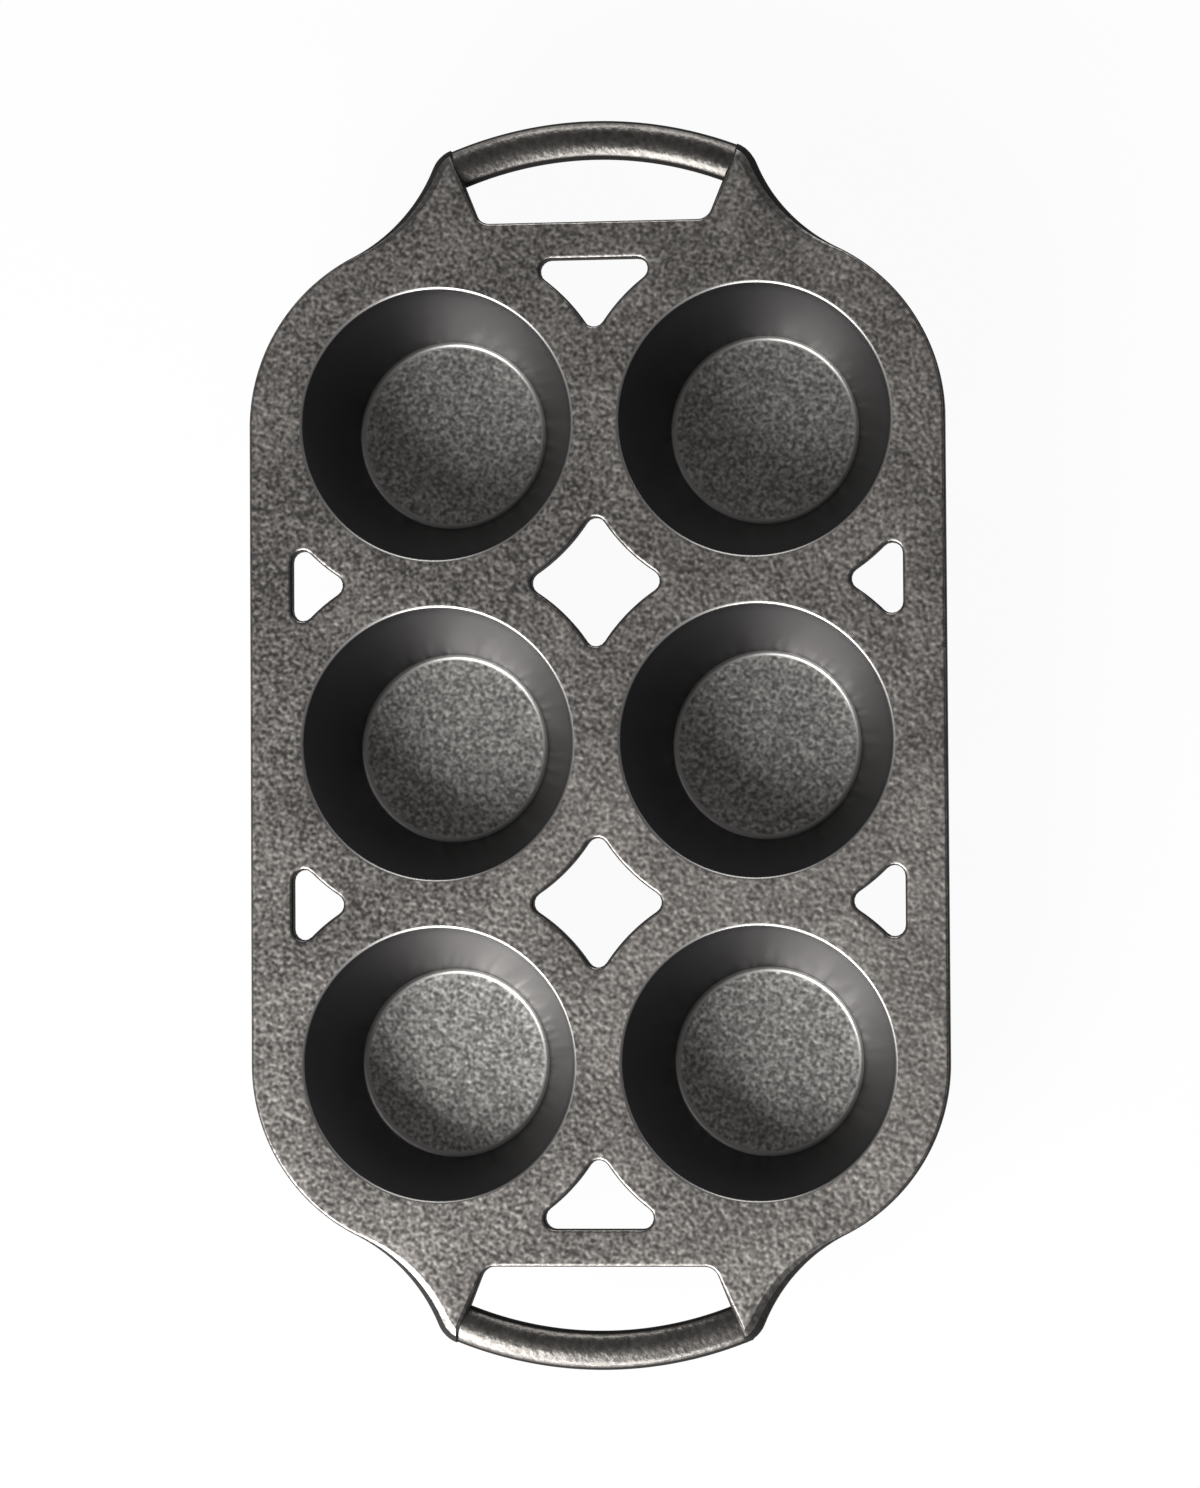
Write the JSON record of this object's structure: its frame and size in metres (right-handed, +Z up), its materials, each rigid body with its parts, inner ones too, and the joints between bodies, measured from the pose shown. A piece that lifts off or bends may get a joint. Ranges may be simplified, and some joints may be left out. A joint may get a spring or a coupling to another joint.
{
  "type": "cast iron muffin pan",
  "caption": "Heavy cast pan with round tapered baking cups set in a flat deck with relief openings between them, and an arched grip bar at each end.",
  "frame": {"origin": "under the pan's centre, on the plane of the cup feet", "axes": "+Y along the pan from the front grip to the rear grip, +X to the right, +Z up out of the cup mouths"},
  "size_m": [0.19, 0.339, 0.0375],
  "materials": {
    "deck_iron": "seasoned, grainy as cast",
    "cup_iron": "seasoned, smooth walls and grainy floors",
    "grip_iron": "seasoned, smooth"
  },
  "bodies": {
    "root": {"deck_plate": "deck_iron", "cup_left_front": "cup_iron", "cup_left_middle": "cup_iron", "cup_left_rear": "cup_iron", "cup_right_front": "cup_iron", "cup_right_middle": "cup_iron", "cup_right_rear": "cup_iron", "grip_front": "grip_iron", "grip_rear": "grip_iron"}
  },
  "joints": []
}
